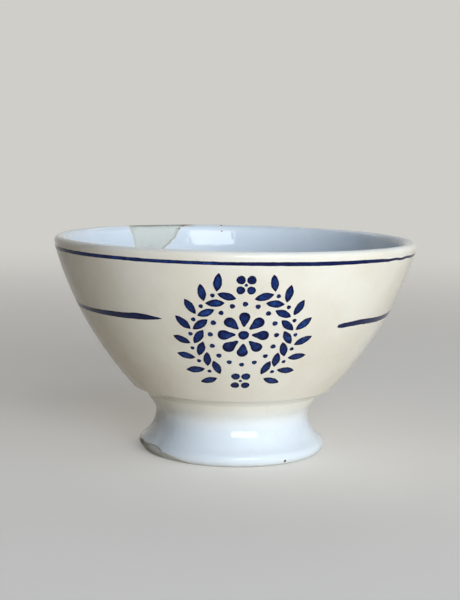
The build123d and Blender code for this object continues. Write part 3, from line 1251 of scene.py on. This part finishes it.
def banding(bowl: Bowl, layer: PaintLayer, rim_rise: float = 0.65,
            stripe_level: float = 57.0) -> tuple[BrushedLine, BrushedLine]:
    """Describes the two banded lines.

    Args:
        bowl: the bowl that they run round.
        layer: the colour that they are laid in.
        rim_rise: height of the rim line above the foot of the lip's band.
        stripe_level: height of the stripe above the base.

    Returns:
        The line on the lip, and the stripe round the wall, which is open at the front.
    """
    rim_line = BrushedLine(
        bowl, layer, "brushed_rim_line", "rim_line", -180.0, 180.0, bowl.lip_foot_height + rim_rise,
        drifts=((44.0, 0.0), (49.0, -0.15), (53.0, 0.05), (57.0, -0.25), (62.0, 0.0), (68.0, -0.2),
                (76.0, 0.0)),
        widths=((-180.0, 1.25), (-60.0, 1.35), (-8.0, 1.2), (20.0, 1.5), (44.0, 1.3), (52.0, 0.95),
                (76.0, 0.95), (100.0, 1.2), (180.0, 1.25)),
        tones=((-180.0, 0.5), (-60.0, 0.75), (-12.0, 0.7), (-4.0, 0.15), (40.0, 0.2), (60.0, 0.0),
               (180.0, 0.5)))
    stripe = BrushedLine(
        bowl, layer, "brushed_side_stripe", "side_stripe", 34.5, 332.3, stripe_level,
        drifts=((34.5, -1.45), (46.0, -0.8), (59.0, -1.0), (75.0, -0.6), (120.0, 0.2), (240.0, 0.4),
                (280.0, 0.8), (300.0, 0.8), (315.7, 0.95), (323.5, 1.3), (332.3, 1.25)),
        widths=((34.5, 0.7), (35.2, 1.45), (37.0, 1.85), (45.0, 2.1), (60.0, 2.1), (180.0, 2.0),
                (287.0, 1.7), (300.0, 1.7), (315.7, 2.15), (323.5, 2.4), (325.2, 2.2), (328.8, 1.5),
                (330.4, 1.05), (332.3, 0.25)),
        tones=((34.5, 0.2), (90.0, 0.5), (270.0, 0.8), (305.0, 0.6), (320.0, 0.3), (332.3, 0.15)))
    return rim_line, stripe


@dataclass
class Medallion:
    """The stencilled medallion: rosette, ring of beads, wreath of leaves and berries, two quatrefoils.

    A wave of the dabs' wobble is its count round the dab, its share of the phase and its strength.
    """

    bowl: Bowl
    layer: PaintLayer
    drop: float = 30.0
    eye_diameter: float = 3.8
    petal_count: int = 8
    petal_start: float = 3.4
    petal_start_width: float = 1.1
    petal_end: float = 7.0
    petal_end_width: float = 4.2
    bead_count: int = 16
    bead_diameter: float = 1.9
    bead_ring_diameter: float = 23.2
    wreath_diameter: float = 36.8
    leaf_stations: int = 8
    leaf_first_angle: float = -66.0
    leaf_pitch: float = 17.4
    leaf_length: float = 7.0
    leaf_width: float = 3.0
    leaf_tilt: float = 48.0
    leaf_stem_gap: float = 0.5
    berry_diameter: float = 1.6
    quatrefoil_petals: int = 4
    quatrefoil_petal_diameter: float = 3.2
    quatrefoil_reach: float = 2.6
    quatrefoil_turn: float = 45.0
    quatrefoil_eye_diameter: float = 1.2
    rings: tuple[float, ...] = (0.9, 0.74, 0.5, 0.25)
    outline_step: float = 0.28
    wobble: float = 0.05
    wobble_waves: tuple[tuple[int, int, float], ...] = ((3, 1, 1.0), (7, -2, 0.6))
    wobble_least_reach: float = 0.3
    turn_slack: float = 4.0
    size_slack: float = 0.05
    tones: Point = (0.55, 1.0)
    seed: int = 7

    def __post_init__(self) -> None:
        """Starts the fixed run of small hand-work differences."""
        self.chance = random.Random(self.seed)

    def wall_frame(self, across: float, up: float, turn: float) -> Matrix:
        """Placement of a dab on the wall.

        Args:
            across: way to the right of the medallion's middle.
            up: way above it.
            turn: turn of the dab from level, in degrees.

        Returns:
            Matrix from the dab's own millimetres to metres on the wall.
        """
        height = self.bowl.total_height - self.drop + up
        radius = self.bowl.wall_radius(height)
        azimuth = degrees(asin(across / radius))
        spin = Matrix.Rotation(radians(azimuth), 4, "Z")
        tip = Matrix.Rotation(pi / 2 - self.bowl.wall_angle(height), 4, "X")
        place = Matrix.Translation(round_axis(radius + self.layer.hover, azimuth, height))
        return place @ spin @ tip @ Matrix.Rotation(radians(turn), 4, "Z") @ Matrix.Scale(MM, 4)

    def outline(self, shape: DabShape, width: float, length: float) -> list[Point]:
        """Outline of a dab about its middle, along the x axis, in millimetres.

        Args:
            shape: which outline.
            width: across the dab, at a petal's broad end.
            length: along a leaf, or between the two rounds of a petal.

        Returns:
            The outline's points, not closed.
        """
        step = self.outline_step
        if shape is DabShape.ROUND:
            return arc((0.0, 0.0), width / 2, 0, 2 * pi, step)[:-1]
        if shape is DabShape.LEAF:
            sagitta = width / 2
            radius = (length**2 / 4 + sagitta**2) / (2 * sagitta)
            half = asin(length / 2 / radius)
            upper = arc((0.0, sagitta - radius), radius, pi / 2 - half, pi / 2 + half, step)[:-1]
            return upper + [(-x, -y) for x, y in upper]
        broad, narrow = width / 2, self.petal_start_width / 2
        slope = asin((broad - narrow) / length)
        front = arc((length / 2, 0.0), broad, -pi / 2 - slope, pi / 2 + slope, step)
        back = arc((-length / 2, 0.0), narrow, pi / 2 + slope, 1.5 * pi - slope, step)
        return front + run(front[-1], back[0], step)[1:] + back[1:] + run(back[-1], front[0], step)[1:-1]

    def dab(self, shape: DabShape, width: float, length: float = 0.0) -> Object:
        """Models one flat dab: its outline drawn in towards the middle, ring by ring.

        Args:
            shape: which outline.
            width: across the dab.
            length: along the dab, unless it is round.

        Returns:
            The dab, in millimetres about the origin.
        """
        points = self.outline(shape, width, length)
        piece = added(bpy.ops.mesh.primitive_circle_add, vertices=len(points), radius=1.0)
        for vertex, (x, y) in zip(piece.data.vertices, points):
            vertex.co = (x, y, 0.0)
        edit_all()
        for outer, inner in pairwise([1.0, *self.rings]):
            bpy.ops.mesh.extrude_edges_move()
            bpy.ops.transform.resize(value=(inner / outer,) * 3, center_override=(0, 0, 0))
        bpy.ops.mesh.extrude_edges_move()
        bpy.ops.mesh.merge(type="CENTER")
        bpy.ops.mesh.select_all(action="SELECT")
        bpy.ops.mesh.normals_make_consistent(inside=False)
        bpy.ops.object.mode_set(mode="OBJECT")
        scales = [1.0, *self.rings, 0.0]
        paint_values(piece, "pool", [1 - scales[i // len(points)] for i in range(len(piece.data.vertices))])
        return piece

    def stamp(self, model: Object, across: float, up: float, turn: float) -> Object:
        """Copies a dab onto the wall, with the small differences of hand work.

        Args:
            model: the dab.
            across: way to the right of the medallion's middle.
            up: way above it.
            turn: turn of the dab from level, in degrees.

        Returns:
            The copy.
        """
        copy = bpy.data.objects.new(model.name, model.data.copy())
        bpy.context.collection.objects.link(copy)
        size = 1 + self.chance.uniform(-self.size_slack, self.size_slack)
        slack = self.chance.uniform(-self.turn_slack, self.turn_slack)
        phase = self.chance.uniform(0, 2 * pi)
        tone = self.chance.uniform(*self.tones)
        placed = self.wall_frame(across, up, turn + slack)
        for vertex, pool in zip(copy.data.vertices, model.data.attributes["pool"].data):
            angle = atan2(vertex.co.y, vertex.co.x)
            swell = sum(share * sin(waves * angle + lag * phase) for waves, lag, share in self.wobble_waves)
            swell *= self.wobble * (1 - pool.value) / max(vertex.co.length, self.wobble_least_reach)
            vertex.co = placed @ (vertex.co * size * (1 + swell))
        paint_values(copy, "tone", [tone] * len(copy.data.vertices))
        return copy

    def ring(self, model: Object, radius: float, count: int, first: float = 0.0,
             middle_up: float = 0.0) -> list[Object]:
        """Stamps dabs evenly round a point on the medallion's middle line.

        Args:
            model: the dab.
            radius: the ring's radius.
            count: how many dabs.
            first: angle of the first one, in degrees.
            middle_up: height of the ring's middle above the medallion's.

        Returns:
            The dabs.
        """
        copies = []
        for angle in (first + 360 / count * i for i in range(count)):
            across, up = polar(radius, angle)
            copies.append(self.stamp(model, across, middle_up + up, angle))
        return copies

    def sprays(self, leaf: Object, berry: Object) -> tuple[list, list]:
        """Stamps the two sprays of the wreath.

        Args:
            leaf: the leaf dab.
            berry: the berry dab.

        Returns:
            The leaves and the berries.
        """
        reach = self.leaf_stem_gap + self.leaf_length / 2
        setback = self.leaf_stem_gap + self.berry_diameter / 2
        leaves, berries = [], []
        for station in range(self.leaf_stations):
            angle = self.leaf_first_angle + station * self.leaf_pitch
            stem_across, stem_up = polar(self.wreath_diameter / 2, angle)
            for turn in (angle + 90 - self.leaf_tilt, angle + 90 + self.leaf_tilt):
                across, up = polar(reach, turn)
                leaves.append(self.stamp(leaf, stem_across + across, stem_up + up, turn))
                leaves.append(self.stamp(leaf, -stem_across - across, stem_up + up, 180 - turn))
            if station > 0:
                across, up = polar(setback, angle - 90)
                berries.append(self.stamp(berry, stem_across + across, stem_up + up, angle))
                berries.append(self.stamp(berry, -stem_across - across, stem_up + up, -angle))
        return leaves, berries

    def group(self, name: str, node: str, copies: Sequence[Object]) -> None:
        """Joins dabs into one layer of colour and lays it on the wall.

        Args:
            name: the piece's name.
            node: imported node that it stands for.
            copies: the dabs.
        """
        only(copies[0])
        for copy in copies:
            copy.select_set(True)
        if len(copies) > 1:
            bpy.ops.object.join()
        piece = bpy.context.view_layer.objects.active
        piece.name = name
        self.layer.lay(piece, node)

    def build(self) -> None:
        """Stamps all the dabs and lays one piece for each kind."""
        petal_run = self.petal_end - self.petal_start
        eye = self.dab(DabShape.ROUND, self.eye_diameter)
        petal = self.dab(DabShape.PETAL, self.petal_end_width, petal_run)
        bead = self.dab(DabShape.ROUND, self.bead_diameter)
        leaf = self.dab(DabShape.LEAF, self.leaf_width, self.leaf_length)
        berry = self.dab(DabShape.ROUND, self.berry_diameter)
        foil = self.dab(DabShape.ROUND, self.quatrefoil_petal_diameter)
        foil_eye = self.dab(DabShape.ROUND, self.quatrefoil_eye_diameter)
        petals = self.ring(petal, self.petal_start + petal_run / 2, self.petal_count)
        beads = self.ring(bead, self.bead_ring_diameter / 2, self.bead_count)
        leaves, berries = self.sprays(leaf, berry)
        foils = []
        for up in (self.wreath_diameter / 2, -self.wreath_diameter / 2):
            foils.append(self.stamp(foil_eye, 0.0, up, 0.0))
            foils += self.ring(foil, self.quatrefoil_reach, self.quatrefoil_petals,
                               self.quatrefoil_turn, up)
        self.group("medallion_eye", "rosette_eye", [self.stamp(eye, 0.0, 0.0, 0.0)])
        self.group("medallion_petals", "rosette_petals", petals)
        self.group("medallion_beads", "bead_ring", beads)
        self.group("medallion_leaves", "wreath_leaves", leaves)
        self.group("medallion_berries", "wreath_berries", berries)
        self.group("medallion_quatrefoils", "quatrefoils", foils)
        for model in (eye, petal, bead, leaf, berry, foil, foil_eye):
            bpy.data.objects.remove(model)


# Studio


@dataclass(frozen=True)
class SoftLamp:
    """A soft rectangular light that points at the bowl from an azimuth, an elevation and a distance."""

    name: str
    azimuth: float
    elevation: float
    distance: float
    width: float
    height: float
    power: float
    colour: str
    mirrored: bool = True
    spares_floor: bool = False
    aim_height: float = 45.0

    def hang(self) -> Object:
        """Hangs the light and points it at the bowl.

        Returns:
            The light.
        """
        data = bpy.data.lights.new(self.name, "AREA")
        data.shape = "RECTANGLE"
        data.size = self.width * MM
        data.size_y = self.height * MM
        data.energy = self.power
        data.color = linear(self.colour)[:3]
        light = bpy.data.objects.new(self.name, data)
        light.visible_camera = False
        light.visible_glossy = self.mirrored
        bpy.context.scene.collection.objects.link(light)
        level, rise = polar(self.distance, self.elevation)
        light.location = round_axis(level, self.azimuth, rise)
        aim = round_axis(0.0, 0.0, self.aim_height) - light.location
        light.rotation_euler = aim.to_track_quat("-Z", "Y").to_euler()
        return light


@dataclass
class Studio:
    """Pale floor that sweeps up behind, soft light from the front right, and the photograph's camera.

    The camera stands a little to the left of the medallion and looks slightly down.
    """

    lamps: tuple[SoftLamp, ...] = (
        SoftLamp("window_light", 14.5, 20.0, 1250.0, 740.0, 470.0, 7.2, "#E8F0FF"),
        SoftLamp("side_light", 30.0, 5.0, 2400.0, 1900.0, 440.0, 41.0, "#EFF5F7", mirrored=False),
        SoftLamp("sky_light", 40.0, 40.0, 2600.0, 2200.0, 1600.0, 11.5, "#E6EEF8"),
        SoftLamp("top_light", 80.0, 68.0, 2200.0, 900.0, 900.0, 7.0, "#F2F4F6",
                 mirrored=False, spares_floor=True),
        SoftLamp("back_light", 180.0, 48.0, 1800.0, 1400.0, 900.0, 3.5, "#F0F2F5"),
        SoftLamp("rear_fill", 176.0, 14.0, 1450.0, 1200.0, 500.0, 10.0, "#F4F3F0",
                 mirrored=False, spares_floor=True),
    )
    camera_distance: float = 519.35
    camera_height: float = 122.09
    camera_azimuth: float = -3.5
    camera_pitch: float = 6.988
    camera_yaw: float = -0.174
    camera_roll: float = 1.182
    lens: float = 80.07
    sensor: float = 36.0
    floor_width: float = 6000.0
    floor_front: float = 3000.0
    floor_back: float = 1600.0
    floor_gap: float = 0.02
    backdrop_height: float = 1500.0
    sweep_round: float = 240.0
    sweep_segments: int = 24
    sweep_crease: float = 60.0
    fill_strength: float = 0.03
    fill_colour: str = "#DCE8F7"

    def camera(self) -> None:
        """Sets up the camera at the photograph's angle."""
        pitch, yaw, roll = radians(self.camera_pitch), radians(self.camera_yaw), radians(self.camera_roll)
        forward = Vector((sin(yaw) * cos(pitch), cos(yaw) * cos(pitch), -sin(pitch)))
        right = Vector((cos(yaw), -sin(yaw), 0.0))
        up = right.cross(forward)
        image_right = right * cos(roll) + up * sin(roll)
        image_up = up * cos(roll) - right * sin(roll)
        axes = Matrix((image_right, image_up, -forward)).transposed()
        turn = Matrix.Rotation(radians(self.camera_azimuth), 3, "Z")
        data = bpy.data.cameras.new("photo_camera")
        data.lens = self.lens
        data.sensor_width = self.sensor
        camera = bpy.data.objects.new("photo_camera", data)
        bpy.context.scene.collection.objects.link(camera)
        camera.location = round_axis(self.camera_distance, self.camera_azimuth, self.camera_height)
        camera.rotation_euler = (turn @ axes).to_euler()
        bpy.context.scene.camera = camera

    def sweep(self, paper: Material) -> Object:
        """Lays the floor and draws its back edge up into the backdrop.

        Args:
            paper: the floor's finish.

        Returns:
            The floor with its backdrop.
        """
        floor = added(bpy.ops.mesh.primitive_plane_add, size=1.0)
        floor.name = "studio_sweep"
        for vertex in floor.data.vertices:
            depth = self.floor_back if vertex.co.y > 0 else -self.floor_front
            vertex.co = Vector((vertex.co.x * self.floor_width, depth, -self.floor_gap)) * MM
        edit_all()
        bpy.ops.mesh.select_all(action="DESELECT")
        bpy.ops.object.mode_set(mode="OBJECT")
        for edge in floor.data.edges:
            edge.select = all(floor.data.vertices[i].co.y > 0 for i in edge.vertices)
        bpy.ops.object.mode_set(mode="EDIT")
        bpy.ops.mesh.select_mode(type="EDGE")
        bpy.ops.mesh.extrude_edges_move(TRANSFORM_OT_translate={"value": (0, 0, self.backdrop_height * MM)})
        bpy.ops.object.mode_set(mode="OBJECT")
        for edge in floor.data.edges:
            ends = [floor.data.vertices[i].co for i in edge.vertices]
            edge.select = all(end.y > 0 and end.z < MM for end in ends)
        bpy.ops.object.mode_set(mode="EDIT")
        bpy.ops.mesh.bevel(offset=self.sweep_round * MM, segments=self.sweep_segments, affect="EDGES")
        bpy.ops.mesh.select_mode(type="VERT")
        bpy.ops.object.mode_set(mode="OBJECT")
        smooth(floor, self.sweep_crease)
        floor.data.materials.append(paper)
        return floor

    def spare(self, light: Object, floor: Object) -> None:
        """Keeps a light off the floor, which it would streak.

        Args:
            light: the light.
            floor: the floor with its backdrop.
        """
        spared = bpy.data.collections.new(f"spared_by_{light.name}")
        spared.objects.link(floor)
        spared.collection_objects[0].light_linking.link_state = "EXCLUDE"
        light.light_linking.receiver_collection = spared

    def fill(self) -> None:
        """Fills the shadows with a weak even light."""
        world = bpy.data.worlds.new("studio_fill")
        world.use_nodes = True
        tree = world.node_tree
        seen = add_node(tree, "LightPath").outputs["Is Camera Ray"]
        colour = add_node(tree, "Mix", {
            "Factor": seen, "A": linear(self.fill_colour), "B": linear(BACKGROUND)}, data_type="RGBA")
        strength = add_node(tree, "Mix", {"Factor": seen, "A": self.fill_strength, "B": 1.0})
        background = tree.nodes["Background"]
        feed(background.inputs["Color"], colour)
        feed(background.inputs["Strength"], strength)
        bpy.context.scene.world = world

    def build(self, paper: Material) -> None:
        """Sets the stage, the lights and the camera.

        Args:
            paper: the floor's finish.
        """
        floor = self.sweep(paper)
        for lamp in self.lamps:
            light = lamp.hang()
            if lamp.spares_floor:
                self.spare(light, floor)
        self.fill()
        self.camera()
        bpy.context.scene.view_settings.view_transform = "Standard"


def main() -> None:
    """Builds the bowl piece by piece and reports each one."""
    logging.basicConfig(level=logging.INFO, format="%(message)s")
    bowl_low, bowl_high = (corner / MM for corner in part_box("bowl"))
    foot_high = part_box("foot")[1] / MM
    glaze = GlazeFinish().material()
    biscuit = BiscuitFinish().material()
    # The chip's biscuit is paler and bluer than the bare biscuit, partly painted light that offsets the
    # shade and warm floor bounce of the downturned chip; its edge colour is pale where the glaze ends.
    chip_biscuit_paled_against_shade = BiscuitFinish(name="chipped_biscuit_paled_against_shade", clay="#DFE3E2", sand="#D2D7D6", stain="#BCBBB2",
                            edge="#EEF2F2").material()
    # The pits' faces are coloured far darker than the bare biscuit.
    dark = BiscuitFinish(name="dark_pit", clay="#5A4F44", sand="#3E3730", stain="#2C2620").material()
    cobalt = CobaltFinish().material()

    bowl = Bowl(bowl_high.x, bowl_high.z, bowl_low.z)
    bowl_piece = bowl.build(glaze)
    layer = PaintLayer(bowl_piece, cobalt)
    for line in banding(bowl, layer):
        line.build()
    Medallion(bowl, layer).build()
    bowl.break_rim(bowl_piece, biscuit, dark)
    hand_over(bowl_piece, Slot.WHITE_GLAZE, "bowl")

    foot = Foot(foot_high.x, foot_high.z)
    foot_piece = foot.build(glaze)
    foot.break_base(foot_piece, chip_biscuit_paled_against_shade, dark)
    hand_over(foot_piece, Slot.WHITE_GLAZE, "foot")
    joint_piece = LutedJoint(foot, bowl.underside_height).build(glaze)
    hand_over(joint_piece, Slot.SLIP, "luting_slip")

    Studio().build(PaperFinish().material())


if __name__ == "__main__":
    main()
